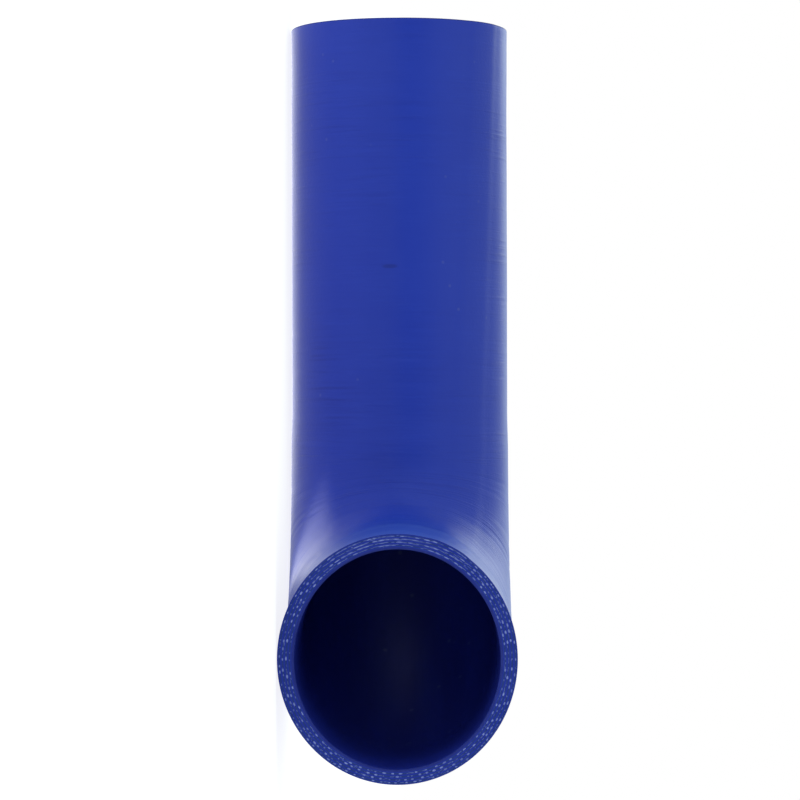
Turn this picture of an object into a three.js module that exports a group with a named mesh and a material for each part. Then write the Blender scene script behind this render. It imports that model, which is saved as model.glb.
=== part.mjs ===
// A moulded elbow hose for an engine's cooling circuit. Four plies of rubbered cloth are wrapped
// by hand on a bent mandrel, covered, bound with tape and cured into one piece, and the ends are
// then cut square with a knife. It lies on its side, as it comes to rest, with the plane of the
// elbow level: the long leg runs to -X, the short leg to -Y and +Z is up. The origin is on the
// ground, under the middle of the outline. Sizes are in millimetres and angles in degrees.

import * as THREE from "three";

const { clamp, degToRad, lerp, smoothstep } = THREE.MathUtils;

// Each leg, from the other leg's axis to its own cut face, and the bend between them.
const longLeg = 189.9;
const shortLeg = 95.3;
const bendRadius = 56.4;

// The bore fits a 60 mm pipe. Off the pipe the soft wall settles into a slight oval, narrower
// across the plane of the elbow than in it, and rounder towards the long end.
const boreAcross = 58.4;
const boreInPlaneAtShortEnd = 62.2;
const boreInPlaneAtLongEnd = 60.1;

// The wall of a straight leg, in the plane of the elbow and across it.
const wallInPlane = 4.35;
const wallAcross = 4.85;

// In the bend the plies bunch together at the throat, stretch thin over the heel and swell a
// little all round. All three run out into the straight legs.
const throatBunching = 0.8;
const heelThinning = 0.4;
const bendSwell = 0.3;
const bendRunOut = 14;

// Where the outer ply laps over itself, a low flat ridge runs the length of the hose. It leans
// round the hose on its way: its angles are counted from the throat, up over the lying hose.
const lapHeight = 0.25;
const lapWidth = 16;
const lapEdge = 4;
const lapAngleAtShortEnd = 26;
const lapAngleAtLongEnd = 52;

// The broken corners of the cut ends.
const cornerBreak = 0.3;

// The fineness of the facets: round the hose, through the bend, and along each skin's straights.
const facetsAround = 64;
const bendStep = 6;
const outerStep = 10;
const boreStep = 30;

const quarterTurn = Math.PI / 2;
const shortStraight = shortLeg - bendRadius;
const bendEnd = shortStraight + bendRadius * quarterTurn;
const hoseLength = bendEnd + longLeg - bendRadius;
const up = new THREE.Vector3(0, 0, 1);

// The centreline is a line, a quarter circle and a line. This gives its point at a distance along
// it from the short end, and the level direction from there towards the heel of the bend. The
// legs' axes cross at zero.
function centreline(along) {
  const turned = clamp((along - shortStraight) / bendRadius, 0, quarterTurn);
  const heelward = new THREE.Vector3(Math.cos(turned), Math.sin(turned), 0);
  const forward = new THREE.Vector3(-heelward.y, heelward.x, 0);
  const pastBend = Math.min(along - shortStraight, 0) + Math.max(along - bendEnd, 0);
  const point = new THREE.Vector3(-bendRadius, -bendRadius, 0)
    .addScaledVector(heelward, bendRadius)
    .addScaledVector(forward, pastBend);
  return { point, heelward };
}

// 1 all through the bend, and 0 in the legs beyond its run-out.
function bendShare(along) {
  const comingIn = smoothstep(along, shortStraight - bendRunOut, shortStraight);
  const goingOut = smoothstep(along, bendEnd, bendEnd + bendRunOut);
  return comingIn - goingOut;
}

// 1 on top of the lap, and 0 beyond its two rounded edges.
function lapShare(along, angle) {
  const ofLength = along / hoseLength;
  const lapAngle = degToRad(lerp(lapAngleAtShortEnd, lapAngleAtLongEnd, ofLength));
  const turnsAway = (angle - lapAngle) / (2 * Math.PI);
  const nearestTurn = Math.abs(turnsAway - Math.round(turnsAway));
  const distance = nearestTurn * Math.PI * (boreAcross + 2 * wallAcross);
  return 1 - smoothstep(distance, lapWidth / 2 - lapEdge, lapWidth / 2);
}

// The wall at a point round the hose, where angle 0 is the throat and a quarter turn is the top.
function wallThickness(along, angle) {
  const straightWall = lerp(wallInPlane, wallAcross, Math.sin(angle) ** 2);
  const towardsThroat = Math.cos(angle);
  const bunching = towardsThroat > 0 ? throatBunching : -heelThinning;
  const bendGain = bendSwell + bunching * towardsThroat ** 2;
  return straightWall + bendGain * bendShare(along) + lapHeight * lapShare(along, angle);
}

// How far out of the bore each skin lies, when it is set a little way into the wall.
const outerSkin = { step: outerStep, height: (along, angle, inset) => wallThickness(along, angle) - inset };
const boreSkin = { step: boreStep, height: (along, angle, inset) => inset };

// The distances from a start to an end, the end left out, in equal steps no longer than one given.
function steps(start, end, longest) {
  const count = Math.ceil((end - start) / longest);
  return Array.from({ length: count }, (_, i) => lerp(start, end, i / count));
}

// The rings that make one skin, from the short end to the long one. The first and the last lie in
// the cut faces, set into the wall by the broken corner.
function skinRings(skin) {
  const bendArc = bendRadius * degToRad(bendStep);
  const distances = [
    ...steps(cornerBreak, shortStraight, skin.step),
    ...steps(shortStraight, bendEnd, bendArc),
    ...steps(bendEnd, hoseLength - cornerBreak, skin.step),
    hoseLength - cornerBreak,
  ];
  return [
    { skin, along: 0, inset: cornerBreak },
    ...distances.map((along) => ({ skin, along, inset: 0 })),
    { skin, along: hoseLength, inset: cornerBreak },
  ];
}

// The points of one ring, facet by facet round the hose.
function ringPoints({ skin, along, inset }) {
  const { point, heelward } = centreline(along);
  const boreInPlane = lerp(boreInPlaneAtShortEnd, boreInPlaneAtLongEnd, along / hoseLength);
  return Array.from({ length: facetsAround }, (_, facet) => {
    const angle = (facet / facetsAround) * 2 * Math.PI;
    const height = skin.height(along, angle, inset);
    return point
      .clone()
      .addScaledVector(heelward, -(boreInPlane / 2 + height) * Math.cos(angle))
      .addScaledVector(up, (boreAcross / 2 + height) * Math.sin(angle));
  });
}

// The closed surface: out along the outer skin, over the long end's face, back along the bore and
// over the short end's face, with each ring joined to the next by a band of triangles.
function hoseGeometry() {
  const rings = [...skinRings(outerSkin), ...skinRings(boreSkin).reverse()];
  const triangles = [];
  rings.forEach((_, ring) => {
    const here = ring * facetsAround;
    const next = ((ring + 1) % rings.length) * facetsAround;
    for (let facet = 0; facet < facetsAround; facet += 1) {
      const following = (facet + 1) % facetsAround;
      triangles.push(here + facet, here + following, next + facet);
      triangles.push(here + following, next + following, next + facet);
    }
  });
  const geometry = new THREE.BufferGeometry();
  geometry.setFromPoints(rings.flatMap(ringPoints));
  geometry.setIndex(triangles);
  geometry.computeVertexNormals();
  return geometry;
}

// Stands a geometry on the ground, with the middle of its outline over the origin.
function setOnGround(geometry) {
  geometry.computeBoundingBox();
  const middle = geometry.boundingBox.getCenter(new THREE.Vector3());
  return geometry.translate(-middle.x, -middle.y, -geometry.boundingBox.min.z);
}

const blueSilicone = new THREE.MeshStandardMaterial({
  color: 0x2440a2,
  roughness: 0.4,
  metalness: 0,
});

const hose = new THREE.Mesh(setOnGround(hoseGeometry()), blueSilicone);
hose.name = "radiator_hose";

const radiatorHose = new THREE.Group();
radiatorHose.add(hose);

export default radiatorHose;
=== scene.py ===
import math

import bpy
import numpy as np
from mathutils import Matrix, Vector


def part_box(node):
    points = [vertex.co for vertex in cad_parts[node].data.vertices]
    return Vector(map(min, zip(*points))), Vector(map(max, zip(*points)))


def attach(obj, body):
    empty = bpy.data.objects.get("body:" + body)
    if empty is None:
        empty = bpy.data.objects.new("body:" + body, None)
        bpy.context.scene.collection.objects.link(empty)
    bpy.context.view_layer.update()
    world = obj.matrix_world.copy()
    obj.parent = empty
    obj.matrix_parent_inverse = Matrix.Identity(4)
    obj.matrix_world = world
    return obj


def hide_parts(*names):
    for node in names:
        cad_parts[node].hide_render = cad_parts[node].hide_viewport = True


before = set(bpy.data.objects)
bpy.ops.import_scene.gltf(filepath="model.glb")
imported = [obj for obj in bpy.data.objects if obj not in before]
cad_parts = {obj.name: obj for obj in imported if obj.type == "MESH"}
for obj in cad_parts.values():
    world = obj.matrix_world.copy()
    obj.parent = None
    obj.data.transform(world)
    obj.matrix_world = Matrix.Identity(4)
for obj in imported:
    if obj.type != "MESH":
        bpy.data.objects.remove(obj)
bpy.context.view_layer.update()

# The hose: a right-angle elbow of blue silicone rubber over four cloth plies. The plies are wrapped
# on a bent mandrel, covered, bound with tape that leaves its marks in the skin, cured, and cut
# square with a knife. Its sizes are the CAD solid's, in metres, and here it gets its real surface.

long_leg = 0.1899
short_leg = 0.0953
bend_radius = 0.0564
bore_across = 0.0584
bore_in_plane_at_short_end = 0.0622
bore_in_plane_at_long_end = 0.0601
wall_in_plane = 0.00435
wall_across = 0.00485
throat_bunching = 0.0008
heel_thinning = 0.0004
bend_swell = 0.0003
bend_run_out = 0.014
lap_height = 0.00025
lap_width = 0.016
lap_edge = 0.004
lap_angle_at_short_end = math.radians(26)
lap_angle_at_long_end = math.radians(52)

# The layers, as shares of the wall out of the bore: how far the liner goes, the rows of cloth and
# how far they wave, where the cover's thin rim begins, and how softly one layer meets the next.
liner_share = 0.16
first_ply = 0.27
ply_step = 0.2
ply_count = 4
ply_waviness = 0.05
rim_share = 0.97
layer_blend = 0.03

# The cut ends: their round corners, how far the plies draw back from the knife and over which
# shares of the wall that begins and ends, the knife's wander, and the even stretch of skin beside.
cut_corner_radius = 0.0003
ply_draw_back = 0.00005
draw_back_begins = (0.14, 0.24)
draw_back_ends = (0.9, 0.97)
knife_wander = 0.00006
even_end = 0.004

# The skin's own unevenness: the height of each slow wave that hand wrapping leaves.
wrapping_wave = 0.00003

hose_low, hose_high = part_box("radiator_hose")
leg_axes_cross = np.array([
    hose_low[0] + long_leg,
    hose_low[1] + short_leg,
    (hose_low[2] + hose_high[2]) / 2,
])
short_straight = short_leg - bend_radius
bend_end = short_straight + bend_radius * math.pi / 2
hose_length = bend_end + long_leg - bend_radius
mean_radius = (bore_across + wall_across) / 2

facets_around = 192
angles = np.linspace(0, 2 * np.pi, facets_around + 1)
chance = np.random.default_rng(57)


def ramp(values, start, end):
    """0 up to the start, 1 beyond the end, and the smooth cubic 3t^2 - 2t^3 between them."""
    share = np.clip((values - start) / (end - start), 0, 1)
    return share * share * (3 - 2 * share)


def blend(first, second, share):
    """The first value where the share is 0, the second where it is 1."""
    return first + (second - first) * share


def away_from(angle, middle):
    """The angle between two directions round the hose, the short way, from -pi to pi."""
    return (angle - middle + np.pi) % (2 * np.pi) - np.pi


def centreline(along):
    """A line, a quarter circle and a line. For a distance from the short end it gives the point,
    the level direction towards the heel of the bend, and the direction onwards. The circle's centre
    lies one bend radius inside both legs' axes, and the legs continue along its two tangents."""
    turned = np.clip((along - short_straight) / bend_radius, 0, np.pi / 2)
    level = np.zeros_like(turned)
    heelward = np.stack([np.cos(turned), np.sin(turned), level], -1)
    onward = np.stack([-np.sin(turned), np.cos(turned), level], -1)
    past_bend = np.minimum(along - short_straight, 0) + np.maximum(along - bend_end, 0)
    bend_centre = leg_axes_cross - np.array([bend_radius, bend_radius, 0])
    point = bend_centre + bend_radius * heelward + past_bend[..., None] * onward
    return point, heelward, onward


def wall_thickness(along, angle):
    """The wall in the plane of the elbow runs over to the wall across it as the sine squared of the
    angle, which is 0 at the throat and a quarter turn on top. In the bend it gains the swell and, as
    the cosine squared, the plies bunched at the throat or stretched over the heel. The outer ply's
    lap adds a low flat ridge that leans round the hose on its way."""
    towards_throat = np.cos(angle)
    straight_wall = blend(wall_in_plane, wall_across, np.sin(angle) ** 2)
    bunching = np.where(towards_throat > 0, throat_bunching, -heel_thinning)
    in_bend = ramp(along, short_straight - bend_run_out, short_straight)
    in_bend = in_bend - ramp(along, bend_end, bend_end + bend_run_out)
    lap_angle = blend(lap_angle_at_short_end, lap_angle_at_long_end, along / hose_length)
    from_lap = np.abs(away_from(angle, lap_angle)) * (bore_across / 2 + wall_across)
    on_lap = 1 - ramp(from_lap, lap_width / 2 - lap_edge, lap_width / 2)
    return straight_wall + in_bend * (bend_swell + bunching * towards_throat ** 2) + lap_height * on_lap


def surface_points(along, angle, height):
    """A point lies on the oval bore's ring, moved out by its height: the half bore and the height
    along minus the cosine towards the heel, and along the sine upwards."""
    point, heelward, _ = centreline(along)
    in_plane = blend(bore_in_plane_at_short_end, bore_in_plane_at_long_end, along / hose_length) / 2
    sideways = (-(in_plane + height) * np.cos(angle))[..., None] * heelward
    upwards = ((bore_across / 2 + height) * np.sin(angle))[..., None] * np.array([0.0, 0.0, 1.0])
    return point + sideways + upwards


# The furrows that the binding tape's edges press in round the hose, kind by kind: how many, the
# stretch of the hose, the side that they gather on and how closely, and the ranges of their reach
# round the hose, width and depth.
furrow_kinds = (
    {
        "count": 44, "from": bend_end - 0.004, "to": bend_end + 0.045, "side": -0.35, "spread": 0.8,
        "reach": (0.2, 0.6), "width": (0.0004, 0.0008), "depth": (0.00003, 0.00008),
    },
    {
        "count": 30, "from": 0.01, "to": hose_length - 0.01, "side": 0.0, "spread": 2.0,
        "reach": (0.3, 1.2), "width": (0.0005, 0.0012), "depth": (0.00002, 0.00005),
    },
    {
        "count": 26, "from": 0.012, "to": bend_end - 0.01, "side": -1.2, "spread": 0.25,
        "reach": (0.3, 0.8), "width": (0.0006, 0.0018), "depth": (0.00003, 0.00007),
    },
    {
        "count": 26, "from": 0.012, "to": bend_end - 0.01, "side": 1.2, "spread": 0.25,
        "reach": (0.3, 0.8), "width": (0.0006, 0.0018), "depth": (0.00003, 0.00007),
    },
    {
        "count": 6, "from": short_straight, "to": bend_end - 0.01, "side": 0.0, "spread": 0.3,
        "reach": (0.8, 1.4), "width": (0.002, 0.004), "depth": (0.00004, 0.00008),
    },
)


def tape_furrows(along, angle):
    """Each furrow is a bell across the hose's length, exp(-(distance / width) squared), which fades
    out towards both ends of its reach round the hose. Their depths add up."""
    depth = np.zeros_like(along + angle)
    for kind in furrow_kinds:
        for _ in range(kind["count"]):
            place = chance.uniform(kind["from"], kind["to"])
            middle = chance.normal(kind["side"], kind["spread"])
            reach = chance.uniform(*kind["reach"])
            width = chance.uniform(*kind["width"])
            deepest = chance.uniform(*kind["depth"])
            fades = 1 - ramp(np.abs(away_from(angle, middle)), reach * 0.4, reach)
            depth = depth + deepest * fades * np.exp(-((along - place) / width) ** 2)
    return depth


def hand_wrapping(along, angle):
    """The slow unevenness of hand-wrapped plies: six waves of whole turns round the hose and free
    lengths along it, added up, from 0 inwards."""
    waves = np.zeros_like(along + angle)
    for turns in (1, 2, 2, 3, 4, 5):
        wavelength = chance.uniform(0.03, 0.11)
        phase = chance.uniform(0, 2 * np.pi)
        wave = np.sin(turns * angle + 2 * np.pi * along / wavelength + phase)
        waves = waves + wrapping_wave * (1 + wave) / 2
    return waves


def inside_ends(along):
    """0 at both cut ends and 1 past the even stretch beside them, so that the skin meets its corners."""
    return ramp(along, 0, even_end) * ramp(hose_length - along, 0, even_end)


def outer_height(along, angle):
    """The outer skin above the bore: the wall, less what tape and wrapping press into it."""
    pressed_in = tape_furrows(along, angle) + hand_wrapping(along, angle)
    return wall_thickness(along, angle) - pressed_in * inside_ends(along)


def bore_height(along, angle):
    """The bore skin is the mandrel's own smooth shape."""
    return np.zeros_like(along + angle)


def cut_wander(angle):
    """How far a knife cut by hand wanders back from the square end, from 0: two slow waves."""
    return knife_wander * (2 + np.sin(2 * angle + 0.8) + np.sin(3 * angle + 2.1))


def corner_rings(count):
    """A quarter round of the cut corner's radius: the way back from the end and the way into the
    wall of each ring, from the skin's side to the face's side."""
    turn = np.linspace(0, np.pi / 2, count)
    return cut_corner_radius * (1 - np.sin(turn)), cut_corner_radius * (1 - np.cos(turn))


def outer_rings():
    """The places of the outer skin's rings: closest where the furrows lie."""
    furrowed_end = bend_end + 0.05
    return np.concatenate([
        np.linspace(cut_corner_radius, short_straight, 50, endpoint=False),
        np.linspace(short_straight, bend_end, 170, endpoint=False),
        np.linspace(bend_end, furrowed_end, 120, endpoint=False),
        np.linspace(furrowed_end, hose_length - cut_corner_radius, 76),
    ])


def end_face_profile():
    """A cut face from the outer corner to the bore's corner: for each ring the way back from the
    end and the share of the wall. The plies between the cover and the liner draw back a hair."""
    share = np.linspace(1, 0, 15)[1:-1]
    drawn_back = ply_draw_back * ramp(share, *draw_back_begins) * (1 - ramp(share, *draw_back_ends))
    return drawn_back, share


def skin_strip(places, height_at):
    """One skin as rings from end to end, with its map: a circle of the wall's mean radius round the
    hose, and metres along it, so that a pattern on it has no seam."""
    along, angle = np.meshgrid(places, angles, indexing="ij")
    points = surface_points(along, angle, height_at(along, angle))
    return points, np.stack([mean_radius * np.cos(angle), mean_radius * np.sin(angle), along], -1)


def end_face_strip(at_long_end):
    """One cut face with its two round corners, from the outer skin to the bore. Its map is the same
    circle, and the share of the wall out of the bore times the wall across."""
    place = hose_length if at_long_end else 0.0
    inward = -1 if at_long_end else 1
    wall = wall_thickness(np.full_like(angles, place), angles)
    corner_back, corner_in = corner_rings(4)
    face_back, face_share = end_face_profile()
    backs = [*corner_back, *face_back, *corner_back[::-1]]
    heights = [wall - step for step in corner_in]
    heights += [blend(cut_corner_radius, wall - cut_corner_radius, share) for share in face_share]
    heights += [np.full_like(wall, step) for step in corner_in[::-1]]
    back = np.array(backs)[:, None] + cut_wander(angles)[None, :]
    height = np.array(heights)
    along = place + inward * back
    angle = np.broadcast_to(angles, along.shape)
    points = surface_points(along, angle, height)
    out_of_bore = height / wall * wall_across
    return points, np.stack([mean_radius * np.cos(angle), mean_radius * np.sin(angle), out_of_bore], -1)


def hose_strips():
    """The closed surface in four strips, each ending on the ring that the next one starts from: the
    outer skin, the long end's face, the bore back, and the short end's face. Each has the number of
    its finish: 0 for the outer skin, 1 for a cut face and 2 for the bore."""
    outer = skin_strip(outer_rings(), outer_height)
    bore_places = np.linspace(hose_length - cut_corner_radius, cut_corner_radius, 56)
    bore = skin_strip(bore_places, bore_height)
    long_face = end_face_strip(at_long_end=True)
    short_points, short_map = end_face_strip(at_long_end=False)
    return [(*outer, 0), (*long_face, 1), (*bore, 2), (short_points[::-1], short_map[::-1], 1)]


def closed_mesh(name, strips):
    """The strips' rings, joined into one closed tube. Strip by strip, each ring's facets run to the
    next ring, and the last ring of a strip is the first of the one after it."""
    points = np.concatenate([strip_points[:-1, :-1] for strip_points, _, _ in strips])
    ring_count = len(points)
    ring, facet = np.meshgrid(np.arange(ring_count), np.arange(facets_around), indexing="ij")
    here = ring * facets_around
    onward = (ring + 1) % ring_count * facets_around
    next_facet = (facet + 1) % facets_around
    corners = np.stack([here + facet, here + next_facet, onward + next_facet, onward + facet], -1)
    corner_places = [
        np.stack([place[:-1, :-1], place[:-1, 1:], place[1:, 1:], place[1:, :-1]], 2)
        for _, place, _ in strips
    ]
    finishes = [np.full((len(place) - 1) * facets_around, finish) for _, place, finish in strips]
    mesh = bpy.data.meshes.new(name)
    mesh.from_pydata(points.reshape(-1, 3), [], corners.reshape(-1, 4))
    places = mesh.attributes.new("round_and_along", "FLOAT_VECTOR", "CORNER")
    places.data.foreach_set("vector", np.concatenate(corner_places).ravel())
    mesh.polygons.foreach_set("material_index", np.concatenate(finishes))
    mesh.polygons.foreach_set("use_smooth", np.ones(ring_count * facets_around, dtype=bool))
    mesh.update()
    return mesh


def set_values(made, **values):
    """Sets the plain values of a node's inputs, with an underscore for each space in a name."""
    for name, value in values.items():
        made.inputs[name.replace("_", " ")].default_value = value


def node(tree, kind, settings=(), **values):
    """Adds one shader node, with its settings and the plain values of its inputs."""
    made = tree.nodes.new(kind)
    for name, value in dict(settings).items():
        setattr(made, name, value)
    set_values(made, **values)
    return made


def feed(tree, socket, source):
    """Gives an input its source: another node's output, or a plain value."""
    if isinstance(source, bpy.types.NodeSocket):
        tree.links.new(source, socket)
    else:
        socket.default_value = source


def arithmetic(tree, operation, *sources):
    """One step of arithmetic on numbers, each an output or a plain value."""
    made = node(tree, "ShaderNodeMath", {"operation": operation})
    for socket, source in zip(made.inputs, sources):
        feed(tree, socket, source)
    return made.outputs["Value"]


def vector_arithmetic(tree, operation, *sources):
    """One step of arithmetic on vectors. Of a length or a dot product it gives the number."""
    made = node(tree, "ShaderNodeVectorMath", {"operation": operation})
    for socket, source in zip(made.inputs, sources):
        feed(tree, socket, source)
    return made.outputs["Value" if operation in ("LENGTH", "DOT_PRODUCT") else "Vector"]


def rescaled(tree, value, **limits):
    """Carries a value over from one range to another in a straight line, also past the range's ends.
    A limit that isn't given is 0 or 1."""
    made = node(tree, "ShaderNodeMapRange", {"clamp": False}, **limits)
    tree.links.new(value, made.inputs["Value"])
    return made.outputs["Result"]


def smooth_mask(tree, value, none_at, full_at):
    """0 up to one value and 1 beyond another, and smooth between them, whichever is larger."""
    made = node(tree, "ShaderNodeMapRange", {"interpolation_type": "SMOOTHSTEP"})
    for name, source in (("Value", value), ("From Min", none_at), ("From Max", full_at)):
        feed(tree, made.inputs[name], source)
    return made.outputs["Result"]


def oval_mask(tree, place, middle, size, softness):
    """1 inside an oval of a middle and half sizes, 0 outside, with a soft edge inside its outline:
    the length of the way from the middle, counted in half sizes."""
    way = vector_arithmetic(tree, "SUBTRACT", place, middle)
    length = vector_arithmetic(tree, "LENGTH", vector_arithmetic(tree, "DIVIDE", way, size))
    return smooth_mask(tree, length, 1.0, 1 - softness)


def noise(tree, place, scale, detail, roughness=0.5):
    """Cloudy noise at a place, about 0.5 in the middle of its range."""
    made = node(tree, "ShaderNodeTexNoise", Scale=scale, Detail=detail, Roughness=roughness)
    tree.links.new(place, made.inputs["Vector"])
    return made.outputs["Fac"]


def tint(tree, amount, under, over):
    """Mixes a colour over another by an amount: each is an output or a plain value."""
    mix = node(tree, "ShaderNodeMix", {"data_type": "RGBA"})
    for socket, source in ((mix.inputs[0], amount), (mix.inputs[6], under), (mix.inputs[7], over)):
        feed(tree, socket, source)
    return mix.outputs[2]


def bump(tree, height, depth, under=None):
    """A bump of a real depth in metres, on top of an earlier bump's normal."""
    made = node(tree, "ShaderNodeBump", Strength=1.0, Distance=depth)
    tree.links.new(height, made.inputs["Height"])
    if under is not None:
        tree.links.new(under, made.inputs["Normal"])
    return made.outputs["Normal"]


def group(name, takes, gives):
    """A new shader node group with named inputs of their kinds and named masks as its outputs, and
    the sockets that its nodes read and fill."""
    tree = bpy.data.node_groups.new(name, "ShaderNodeTree")
    for title, kind in takes.items():
        tree.interface.new_socket(title, in_out="INPUT", socket_type=kind)
    for title in gives:
        tree.interface.new_socket(title, in_out="OUTPUT", socket_type="NodeSocketFloat")
    return tree, tree.nodes.new("NodeGroupInput").outputs, tree.nodes.new("NodeGroupOutput").inputs


def rub_marks():
    """The group that draws fine broken lines on a surface: noise on a map in metres, stretched one way
    and squeezed the other, with a slower noise that breaks it up."""
    tree, given, out = group(
        "rub_marks",
        {
            "Map": "NodeSocketVector",
            "Lines per metre": "NodeSocketVector",
            "Patches per metre": "NodeSocketVector",
            "Sharpness": "NodeSocketFloat",
        },
        ("Lines", "Patches"),
    )
    squeezed = vector_arithmetic(tree, "MULTIPLY", given["Map"], given["Lines per metre"])
    lines = smooth_mask(tree, noise(tree, squeezed, 1.0, 3.0, 0.6), given["Sharpness"], 0.75)
    broader = vector_arithmetic(tree, "MULTIPLY", given["Map"], given["Patches per metre"])
    patches = smooth_mask(tree, noise(tree, broader, 1.0, 2.0), 0.35, 0.65)
    tree.links.new(arithmetic(tree, "MULTIPLY", lines, patches), out["Lines"])
    tree.links.new(patches, out["Patches"])
    return tree


def specks():
    """The group that scatters small specks of dust: round cells on Object coordinates, of which
    only a share, picked by the cell's own chance, holds a speck."""
    tree, given, out = group(
        "specks",
        {"Place": "NodeSocketVector", "Cells per metre": "NodeSocketFloat", "Share": "NodeSocketFloat"},
        ("Speck",),
    )
    cells = node(tree, "ShaderNodeTexVoronoi")
    near_middle = node(tree, "ShaderNodeMapRange", From_Min=0.28, From_Max=0.12)
    colour = node(tree, "ShaderNodeSeparateColor")
    link = tree.links.new
    link(given["Place"], cells.inputs["Vector"])
    link(given["Cells per metre"], cells.inputs["Scale"])
    link(cells.outputs["Distance"], near_middle.inputs["Value"])
    link(cells.outputs["Color"], colour.inputs["Color"])
    picked = arithmetic(tree, "LESS_THAN", colour.outputs["Red"], given["Share"])
    link(arithmetic(tree, "MULTIPLY", near_middle.outputs["Result"], picked), out["Speck"])
    return tree


rub_marks_group = rub_marks()
specks_group = specks()


def place_group(tree, effect, place, **values):
    """Places an effect group in a material, with the place that it reads and the material's values."""
    placed = node(tree, "ShaderNodeGroup", {"node_tree": effect}, **values)
    tree.links.new(place, placed.inputs[0])
    return placed.outputs


def marked(tree, mask, most, shade, mark_shade):
    """A shade with marks in another shade, as strong as the mask times the most given."""
    return tint(tree, arithmetic(tree, "MULTIPLY", mask, most), shade, mark_shade)


def new_finish(name):
    """A new material, with its node tree and its shader."""
    material = bpy.data.materials.new(name)
    material.use_nodes = True
    return material, material.node_tree, material.node_tree.nodes["Principled BSDF"]


def skin_map(tree):
    """The place on the skin's own map."""
    return node(tree, "ShaderNodeAttribute", {"attribute_name": "round_and_along"}).outputs["Vector"]


def object_place(tree):
    """The place in the object's own metres."""
    return node(tree, "ShaderNodeTexCoord").outputs["Object"]


def map_point(angle, along):
    """A place on a skin as its map has it."""
    return mean_radius * math.cos(angle), mean_radius * math.sin(angle), along


# Two marks on the outer skin, each with its place and half sizes on the map: a dark scuff, and the
# stretch of the long leg where the tape's edges have marked the skin most.
scuff_place = map_point(-0.078, 0.1851)
scuff_size = (0.006, 0.0028, 0.0008)
most_marked_place = map_point(-0.62, 0.158)
most_marked_size = (0.016, 0.014, 0.034)

rubber_ior = 1.41
tape_shade = (0.006, 0.02, 0.27, 1)
dust_shade = (0.1, 0.13, 0.36, 1)


def outer_skin():
    """Satin blue rubber that was cured under wrapped tape: fine lines round the hose, a faint
    orange peel, slow changes of shade, a blue bloom at glancing angles, and a little dust."""
    material, tree, rubber = new_finish("blue_outer_skin")
    on_map = skin_map(tree)
    in_object = object_place(tree)
    tape = place_group(
        tree, rub_marks_group, on_map,
        Lines_per_metre=(42, 42, 760), Patches_per_metre=(30, 30, 25), Sharpness=0.46,
    )
    tape_edges = place_group(
        tree, rub_marks_group, on_map,
        Lines_per_metre=(34, 34, 820), Patches_per_metre=(36, 36, 22), Sharpness=0.44,
    )
    fine = place_group(
        tree, rub_marks_group, on_map,
        Lines_per_metre=(60, 60, 1600), Patches_per_metre=(50, 50, 90), Sharpness=0.35,
    )
    peel = noise(tree, in_object, 900.0, 3.0, 0.6)
    clouds = noise(tree, in_object, 28.0, 3.0, 0.55)
    dust = place_group(tree, specks_group, in_object, Cells_per_metre=420.0, Share=0.012)
    most_marked = oval_mask(tree, on_map, most_marked_place, most_marked_size, 0.7)
    scuff = oval_mask(tree, on_map, scuff_place, scuff_size, 0.5)

    shade = tint(tree, clouds, (0.009, 0.031, 0.36, 1), (0.012, 0.040, 0.41, 1))
    shade = marked(tree, tape["Lines"], 0.25, shade, tape_shade)
    shade = marked(tree, tape_edges["Lines"], most_marked, shade, tape_shade)
    shade = marked(tree, fine["Lines"], 0.15, shade, (0.02, 0.06, 0.52, 1))
    shade = marked(tree, dust["Speck"], 0.25, shade, dust_shade)
    shade = marked(tree, scuff, 0.36, shade, (0.004, 0.01, 0.1, 1))
    tree.links.new(shade, rubber.inputs["Base Color"])
    tree.links.new(rescaled(tree, clouds, To_Min=0.27, To_Max=0.39), rubber.inputs["Roughness"])

    normal = bump(tree, peel, 0.00004)
    normal = bump(tree, tape["Lines"], 0.00006, normal)
    normal = bump(tree, fine["Lines"], 0.00003, normal)
    tree.links.new(normal, rubber.inputs["Normal"])
    set_values(
        rubber, IOR=rubber_ior, Sheen_Weight=0.2, Sheen_Roughness=0.4, Sheen_Tint=(0.2, 0.4, 1.0, 1)
    )
    return material


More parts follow.
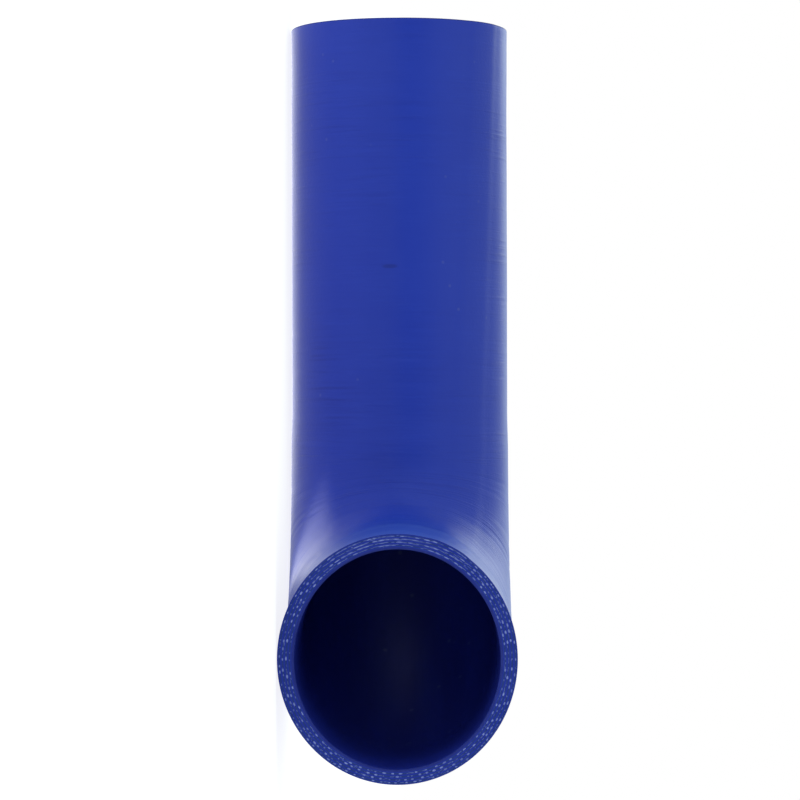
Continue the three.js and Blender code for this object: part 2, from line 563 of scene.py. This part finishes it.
def cut_face():
    """The knife-cut wall: matt rubber, dull where each ply of cloth runs and brighter blue between
    the plies, with a plain liner next to the bore, a thin dark rim, and the knife's strokes."""
    material, tree, rubber = new_finish("cut_rubber")
    on_map = skin_map(tree)
    in_object = object_place(tree)
    grain = noise(tree, in_object, 1500.0, 2.0)
    strays = noise(tree, in_object, 260.0, 1.0)

    # The share of the wall, then waved and counted in plies, then the way to the nearest ply.
    out_of_bore = node(tree, "ShaderNodeSeparateXYZ")
    tree.links.new(on_map, out_of_bore.inputs[0])
    share = rescaled(tree, out_of_bore.outputs["Z"], From_Max=wall_across)
    wavy_share = arithmetic(tree, "MULTIPLY_ADD", strays, ply_waviness, share)
    first_wavy_ply = first_ply + ply_waviness / 2
    plies_out = rescaled(tree, wavy_share, From_Min=first_wavy_ply, From_Max=first_wavy_ply + ply_step)
    from_ply = arithmetic(tree, "PINGPONG", plies_out, 0.5)

    in_ply = smooth_mask(tree, from_ply, 0.4, 0.15)
    in_liner = smooth_mask(tree, share, liner_share + layer_blend, liner_share - layer_blend)
    at_rim = smooth_mask(tree, share, rim_share - layer_blend / 2, rim_share + layer_blend / 2)
    knife = place_group(
        tree, rub_marks_group, on_map,
        Lines_per_metre=(900, 900, 2500), Patches_per_metre=(200, 200, 300), Sharpness=0.3,
    )
    dust = place_group(tree, specks_group, in_object, Cells_per_metre=900.0, Share=0.04)

    shade = tint(tree, grain, (0.008, 0.022, 0.27, 1), (0.012, 0.03, 0.35, 1))
    shade = marked(tree, in_ply, 0.75, shade, (0.014, 0.036, 0.15, 1))
    shade = tint(tree, in_liner, shade, (0.012, 0.023, 0.2, 1))
    shade = marked(tree, at_rim, 0.6, shade, (0.01, 0.02, 0.14, 1))
    shade = marked(tree, knife["Lines"], 0.2, shade, (0.05, 0.08, 0.38, 1))
    shade = marked(tree, dust["Speck"], 0.3, shade, (0.25, 0.3, 0.6, 1))
    tree.links.new(shade, rubber.inputs["Base Color"])
    normal = bump(tree, grain, 0.00006)
    normal = bump(tree, knife["Lines"], 0.00004, normal)
    tree.links.new(normal, rubber.inputs["Normal"])
    set_values(rubber, Roughness=0.62, IOR=rubber_ior, Specular_IOR_Level=0.25)
    return material


def bore_skin():
    """The liner's inner skin, smooth from the mandrel: satin, darker, with faint lines along the
    hose where the mandrel was drawn out."""
    material, tree, rubber = new_finish("blue_bore_skin")
    drawn = place_group(
        tree, rub_marks_group, skin_map(tree),
        Lines_per_metre=(1400, 1400, 25), Patches_per_metre=(70, 70, 30), Sharpness=0.4,
    )
    dust = place_group(tree, specks_group, object_place(tree), Cells_per_metre=300.0, Share=0.06)
    shade = marked(tree, drawn["Patches"], 0.6, (0.006, 0.016, 0.24, 1), (0.009, 0.024, 0.31, 1))
    shade = marked(tree, dust["Speck"], 0.3, shade, dust_shade)
    tree.links.new(shade, rubber.inputs["Base Color"])
    tree.links.new(bump(tree, drawn["Lines"], 0.00003), rubber.inputs["Normal"])
    set_values(rubber, Roughness=0.5, IOR=rubber_ior)
    return material


hose = bpy.data.objects.new("moulded_elbow_hose", closed_mesh("moulded_elbow_hose", hose_strips()))
bpy.context.collection.objects.link(hose)
for finish in (outer_skin(), cut_face(), bore_skin()):
    hose.data.materials.append(finish)
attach(hose, "root")
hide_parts("radiator_hose")

# The cut yarns: in each cut face the four plies of pale polyester cloth show as rows of yarn ends,
# with stretches of the crossing yarn between them. They are part of the wall, and stand a hair
# out of the rubber, which draws back from the knife.

yarn_pitch = 0.0024
yarn_thickness = 0.00068
yarn_height = 0.00012
yarn_sides = 8
bold_share = 0.7
row_waviness = 0.012
throat_stretch = 0.9

# How unevenly the yarns lie: the ends along their row, in pitches, and the crossing stretches along
# it, in half pitches, and off it, in shares of the wall.
end_scatter = 0.16
crossing_scatter = 0.9
crossing_off_row = 0.035

# How many crossing stretches may show beside each end, and the chance of each, away from the throat
# and at it.
crossings_per_end = 2
crossing_chance = 0.45
crossing_chance_at_throat = 0.75

# The range of each kind's length, of its thickness as a share of the yarn's, and of its paleness.
bold_ends = {"length": (0.0011, 0.0017), "thickness": (0.9, 1.2), "paleness": (0.45, 1.0)}
faint_ends = {"length": (0.0006, 0.0011), "thickness": (0.6, 0.9), "paleness": (0.1, 0.4)}
crossings = {"length": (0.0008, 0.0018), "thickness": (0.3, 0.55), "paleness": (0.05, 0.5)}


def bold_or_faint(bold, measure):
    """One measure of each yarn end, by even chance in the bold range or the faint one."""
    as_bold = chance.uniform(*bold_ends[measure], len(bold))
    as_faint = chance.uniform(*faint_ends[measure], len(bold))
    return np.where(bold, as_bold, as_faint)


def yarn_ends():
    """Every yarn end in one face as rows of numbers: the angle round the hose, the share of the
    wall, the length and thickness of the cut, and how pale it is. Each ply has a row of thick ends
    cut across, and thin stretches of the crossing yarn between them. Towards the throat the cloth
    lies nearly in the cut, and both are drawn out long and thin."""
    rows = []
    for ply in range(ply_count):
        place = first_ply + ply * ply_step
        count = int(2 * np.pi * (bore_across / 2 + place * wall_across) / yarn_pitch)
        at = np.arange(count)
        angle = 2 * np.pi * (at + 0.5 * (ply % 2) + chance.normal(0, end_scatter, count)) / count
        slow = np.sin(3 * angle + ply + chance.uniform(0, 6)) + np.sin(7 * angle + chance.uniform(0, 6))
        share = place + row_waviness * slow
        near_throat = ramp(np.cos(angle), 0.6, 0.95)
        drawn_out = 1 + throat_stretch * near_throat
        bold = chance.random(count) < bold_share
        length = drawn_out * bold_or_faint(bold, "length")
        thickness = yarn_thickness * bold_or_faint(bold, "thickness") / drawn_out ** 0.5
        paleness = bold_or_faint(bold, "paleness")
        rows.append(np.stack([angle, share, length, thickness, paleness], -1))
        for _ in range(crossings_per_end):
            seen = chance.random(count) < blend(crossing_chance, crossing_chance_at_throat, near_throat)
            beside = angle + (np.pi + chance.normal(0, crossing_scatter, count)) / count
            off_row = share + chance.normal(0, crossing_off_row, count)
            length = drawn_out * chance.uniform(*crossings["length"], count)
            thickness = yarn_thickness * chance.uniform(*crossings["thickness"], count)
            paleness = chance.uniform(*crossings["paleness"], count)
            rows.append(np.stack([beside, off_row, length, thickness, paleness], -1)[seen])
    return np.concatenate(rows)


def yarn_lens():
    """One yarn end as a lens, 1 in each half size: its points, with a ring below, a narrower ring
    above and two tips, its triangles, and how full of pale yarn each point is, which is none at the
    rim and most at the top."""
    turn = np.arange(yarn_sides) * 2 * np.pi / yarn_sides
    ring = np.stack([np.cos(turn), np.sin(turn)], -1)
    points = np.concatenate([
        np.concatenate([ring, np.full((yarn_sides, 1), -1.0)], -1),
        np.concatenate([ring * 0.7, np.full((yarn_sides, 1), 0.7)], -1),
        [[0, 0, -1.0], [0, 0, 1.0]],
    ])
    fullness = np.concatenate([np.zeros(yarn_sides), np.full(yarn_sides, 0.55), [0, 1]])
    side = np.arange(yarn_sides)
    following = (side + 1) % yarn_sides
    bottom, top = 2 * yarn_sides, 2 * yarn_sides + 1
    triangles = np.concatenate([
        np.stack([side, following, following + yarn_sides], -1),
        np.stack([side, following + yarn_sides, side + yarn_sides], -1),
        np.stack([following, side, np.full_like(side, bottom)], -1),
        np.stack([side + yarn_sides, following + yarn_sides, np.full_like(side, top)], -1),
    ])
    return points, triangles, fullness


def yarn_mesh(name):
    """Every yarn end is the lens, laid in its cut face: half the cut's length round the hose, half
    its thickness out of the bore, and the yarn's height out of the rubber. The way out of the bore
    is from the lens's middle to the point one millimetre further up the wall."""
    lens, lens_triangles, fullness = yarn_lens()
    all_points, all_paleness = [], []
    for place, inward in ((0.0, 1), (hose_length, -1)):
        angle, share, length, thickness, paleness = yarn_ends().T
        along = place + inward * (cut_wander(angle) + yarn_height)
        wall = wall_thickness(along, angle)
        middle = surface_points(along, angle, share * wall)
        out_of_bore = surface_points(along, angle, share * wall + 0.001) - middle
        out_of_bore /= np.linalg.norm(out_of_bore, axis=-1, keepdims=True)
        outward = -inward * centreline(along)[2]
        round_hose = np.cross(out_of_bore, outward)
        half_sizes = np.stack([length / 2, thickness / 2, np.full_like(length, yarn_height)], -1)
        local = lens[None] * half_sizes[:, None]
        points = middle[:, None] + (
            local[..., 0:1] * round_hose[:, None]
            + local[..., 1:2] * out_of_bore[:, None]
            + local[..., 2:3] * outward[:, None]
        )
        all_points.append(points)
        all_paleness.append((paleness[:, None] * fullness).ravel())
    points = np.concatenate(all_points)
    starts = np.arange(len(points)) * len(lens)
    triangles = (starts[:, None, None] + lens_triangles[None]).reshape(-1, 3)
    mesh = bpy.data.meshes.new(name)
    mesh.from_pydata(points.reshape(-1, 3), [], triangles)
    shade = mesh.attributes.new("paleness", "FLOAT", "POINT")
    shade.data.foreach_set("value", np.concatenate(all_paleness))
    mesh.polygons.foreach_set("use_smooth", np.ones(len(triangles), dtype=bool))
    mesh.update()
    return mesh


def yarn_finish():
    """Pale polyester filaments, wetted by the blue rubber between them, each end its own shade."""
    material, tree, yarn = new_finish("pale_ply_yarn")
    paleness = node(tree, "ShaderNodeAttribute", {"attribute_name": "paleness"}).outputs["Fac"]
    filaments = noise(tree, object_place(tree), 9000.0, 1.0)
    shade = tint(tree, paleness, (0.024, 0.05, 0.31, 1), (0.27, 0.33, 0.69, 1))
    shade = marked(tree, filaments, 0.4, shade, (0.035, 0.07, 0.36, 1))
    tree.links.new(shade, yarn.inputs["Base Color"])
    tree.links.new(bump(tree, filaments, 0.00005), yarn.inputs["Normal"])
    set_values(yarn, Roughness=0.75)
    return material


yarns = bpy.data.objects.new("cut_ply_yarns", yarn_mesh("cut_ply_yarns"))
bpy.context.collection.objects.link(yarns)
yarns.data.materials.append(yarn_finish())
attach(yarns, "root")

# The floor: one wide plain sheet of white card under the hose. It shows as white and keeps the
# soft shadow of the hose.

floor_half = 4.0

# The card's own light: a painted glow that falls on the hose and lights it from below though the card is no
# lamp, the glow as the camera sees it, and the shade in which the camera sees the tent's light and the
# hose's shadow on it.
painted_card_glow = 0.5
card_seen_glow = 0.84
card_seen_shade = (0.3, 0.3, 0.3, 1)

# How bright a reflection sees the card's painted glow, as shares of the brightest, by its Y: painted shade
# in front of the hose and underneath, and a painted glow brightest behind it. One oval beside the bend is a
# painted highlight, as bright as it gets.
painted_shine_brightness = 3.2
painted_shine_by_place = (
    (-0.055, 0.04), (-0.03, 0.1), (-0.015, 0.14), (-0.005, 0.14), (0.0, 0.16), (0.018, 0.24), (0.023, 0.45),
    (0.03, 0.82),
)
painted_highlight_spot = (0.044, 0.002, 0)
painted_highlight_spot_size = (0.022, 0.008, 1)


def grey_by_place(tree, value, shares):
    """A grey that goes in straight lines from one value and its share to the next."""
    nearest, farthest = shares[0][0], shares[-1][0]
    made = node(tree, "ShaderNodeValToRGB")
    tree.links.new(rescaled(tree, value, From_Min=nearest, From_Max=farthest), made.inputs["Fac"])
    steps = made.color_ramp.elements
    for at, _ in shares[1:-1]:
        steps.new((at - nearest) / (farthest - nearest))
    for step, (_, share) in zip(steps, shares):
        step.color = (share, share, share, 1)
    return made.outputs["Color"]


def added(tree, first, second):
    """A shader that gives two shaders' light together."""
    made = node(tree, "ShaderNodeAddShader")
    tree.links.new(first.outputs[0], made.inputs[0])
    tree.links.new(second.outputs[0], made.inputs[1])
    return made


def chosen(tree, mask, first, second):
    """A shader that is the first one where the mask is 0, and the second where it is 1."""
    made = node(tree, "ShaderNodeMixShader")
    tree.links.new(mask, made.inputs[0])
    tree.links.new(first.outputs[0], made.inputs[1])
    tree.links.new(second.outputs[0], made.inputs[2])
    return made


def white_card():
    """White card with a painted glow of its own, which lights the hose softly from below. What the camera
    sees of it is mostly its own light, so that it reads as white and still holds a shadow. A reflection
    sees a painted glow by place, with painted shade under and in front of the hose and a painted highlight
    spot beside the bend."""
    material, tree, plain_shader = new_finish("white_card")
    tree.nodes.remove(plain_shader)
    place = object_place(tree)
    rays = node(tree, "ShaderNodeLightPath").outputs

    paper = tint(tree, noise(tree, place, 400.0, 2.0), (0.79, 0.79, 0.79, 1), (0.81, 0.81, 0.81, 1))
    lit = node(tree, "ShaderNodeBsdfDiffuse")
    tree.links.new(paper, lit.inputs["Color"])
    # A painted glow: the card gives off light of its own, which the hose feels as light from below.
    felt = added(tree, lit, node(tree, "ShaderNodeEmission", Strength=painted_card_glow))

    across = node(tree, "ShaderNodeSeparateXYZ")
    tree.links.new(place, across.inputs[0])
    # A painted glow that only reflections see: painted shade under and in front of the hose, a painted glow
    # behind it, and a painted highlight oval beside the bend.
    shine = grey_by_place(tree, across.outputs["Y"], painted_shine_by_place)
    in_painted_highlight = oval_mask(tree, place, painted_highlight_spot, painted_highlight_spot_size, 0.6)
    reflected = node(tree, "ShaderNodeEmission", Strength=painted_shine_brightness)
    tree.links.new(tint(tree, in_painted_highlight, shine, (1, 1, 1, 1)), reflected.inputs["Color"])

    seen_lit = node(tree, "ShaderNodeBsdfDiffuse", Color=card_seen_shade)
    seen = added(tree, seen_lit, node(tree, "ShaderNodeEmission", Strength=card_seen_glow))
    looked_at = arithmetic(tree, "MAXIMUM", rays["Is Camera Ray"], rays["Is Transmission Ray"])
    felt_or_reflected = chosen(tree, rays["Is Glossy Ray"], felt, reflected)
    card = chosen(tree, looked_at, felt_or_reflected, seen)
    tree.links.new(card.outputs[0], tree.nodes["Material Output"].inputs["Surface"])
    return material


floor_mesh = bpy.data.meshes.new("white_floor")
floor_mesh.from_pydata(
    [(x * floor_half, y * floor_half, 0) for x, y in ((-1, -1), (1, -1), (1, 1), (-1, 1))],
    [],
    [(0, 1, 2, 3)],
)
floor = bpy.data.objects.new("white_floor", floor_mesh)
bpy.context.collection.objects.link(floor)
floor.data.materials.append(white_card())

# The light: a soft white tent all round the hose, with a dark opening where the camera looks in
# and a bright soft panel behind and above.

# The tent's colour and brightness, and the share of it that a reflection sees.
tent_colour = (0.88, 0.99, 1.0, 1)
tent_brightness = 0.9
tent_reflected = 0.7

# Where the tent is darker or brighter: the direction, how many degrees round it that brightness
# holds, over how many more it fades out, and the brightness. In turn they are the tent's front,
# the opening for the camera, its back and the panel.
tent_patches = (
    {"towards": (0, -1, 0), "reach": 18, "fades_over": 30, "brightness": 0.42},
    {"towards": (0, -1, 0), "reach": 9, "fades_over": 5, "brightness": 0.04},
    {"towards": (0, 1, 0), "reach": 18, "fades_over": 26, "brightness": 1.8},
    {"towards": (-0.31, 0.82, 0.48), "reach": 9.5, "fades_over": 9.5, "brightness": 3.0},
)


def mixed(tree, amount, under, over):
    """Mixes a number over another by an amount: each is an output or a plain value."""
    mix = node(tree, "ShaderNodeMix", {"data_type": "FLOAT"})
    for socket, source in ((mix.inputs[0], amount), (mix.inputs[2], under), (mix.inputs[3], over)):
        feed(tree, socket, source)
    return mix.outputs[0]


def round_direction(tree, direction, towards, reach, fades_over):
    """1 within a reach of one direction and 0 past its soft edge, both in degrees, from the cosine
    between the direction looked in and the one given."""
    cosine = vector_arithmetic(tree, "DOT_PRODUCT", direction, towards)
    none_at = math.cos(math.radians(reach + fades_over))
    return smooth_mask(tree, cosine, none_at, math.cos(math.radians(reach)))


def studio_tent():
    """The world's brightness by direction. The camera itself sees plain white."""
    world = bpy.data.worlds.new("studio_tent")
    world.use_nodes = True
    tree = world.node_tree
    background = tree.nodes["Background"]
    rays = node(tree, "ShaderNodeLightPath").outputs
    direction = node(tree, "ShaderNodeTexCoord").outputs["Generated"]
    brightness = tent_brightness
    for patch in tent_patches:
        mask = round_direction(tree, direction, patch["towards"], patch["reach"], patch["fades_over"])
        brightness = mixed(tree, mask, brightness, patch["brightness"])
    reflected = mixed(tree, rays["Is Glossy Ray"], 1.0, tent_reflected)
    softened = arithmetic(tree, "MULTIPLY", brightness, reflected)
    tree.links.new(mixed(tree, rays["Is Camera Ray"], softened, 1.0), background.inputs["Strength"])
    colour = tint(tree, rays["Is Camera Ray"], tent_colour, (1, 1, 1, 1))
    tree.links.new(colour, background.inputs["Color"])
    return world


bpy.context.scene.world = studio_tent()

# The camera: rolled a quarter turn, so that the lying hose shows as the photograph has it, with the
# long leg upright. It stands nearly level with the hose's axes, in front of the long leg, and sees
# the short end's cut face a little from the long end's side.

camera_lens = 126
camera_sensor = 36
camera_to_long_leg = 0.886
camera_from_short_leg = 0.0733
camera_above_axes = 0.0078
camera_turned_down = math.radians(0.5)
camera_rolled = math.radians(0.11)

camera_data = bpy.data.cameras.new("camera")
camera_data.lens = camera_lens
camera_data.sensor_width = camera_sensor
camera = bpy.data.objects.new("camera", camera_data)
bpy.context.collection.objects.link(camera)
image_right = (0, 0, 1)
image_up = (-1, 0, 0)
towards_viewer = (0, -1, 0)
facing = Matrix((image_right, image_up, towards_viewer)).transposed().to_4x4()
turn = Matrix.Rotation(camera_turned_down, 4, "Y") @ Matrix.Rotation(-camera_rolled, 4, "Z")
stands_at = leg_axes_cross + np.array([-camera_from_short_leg, -camera_to_long_leg, camera_above_axes])
camera.matrix_world = Matrix.Translation(stands_at) @ facing @ turn
bpy.context.scene.camera = camera
bpy.context.scene.view_settings.view_transform = "Standard"
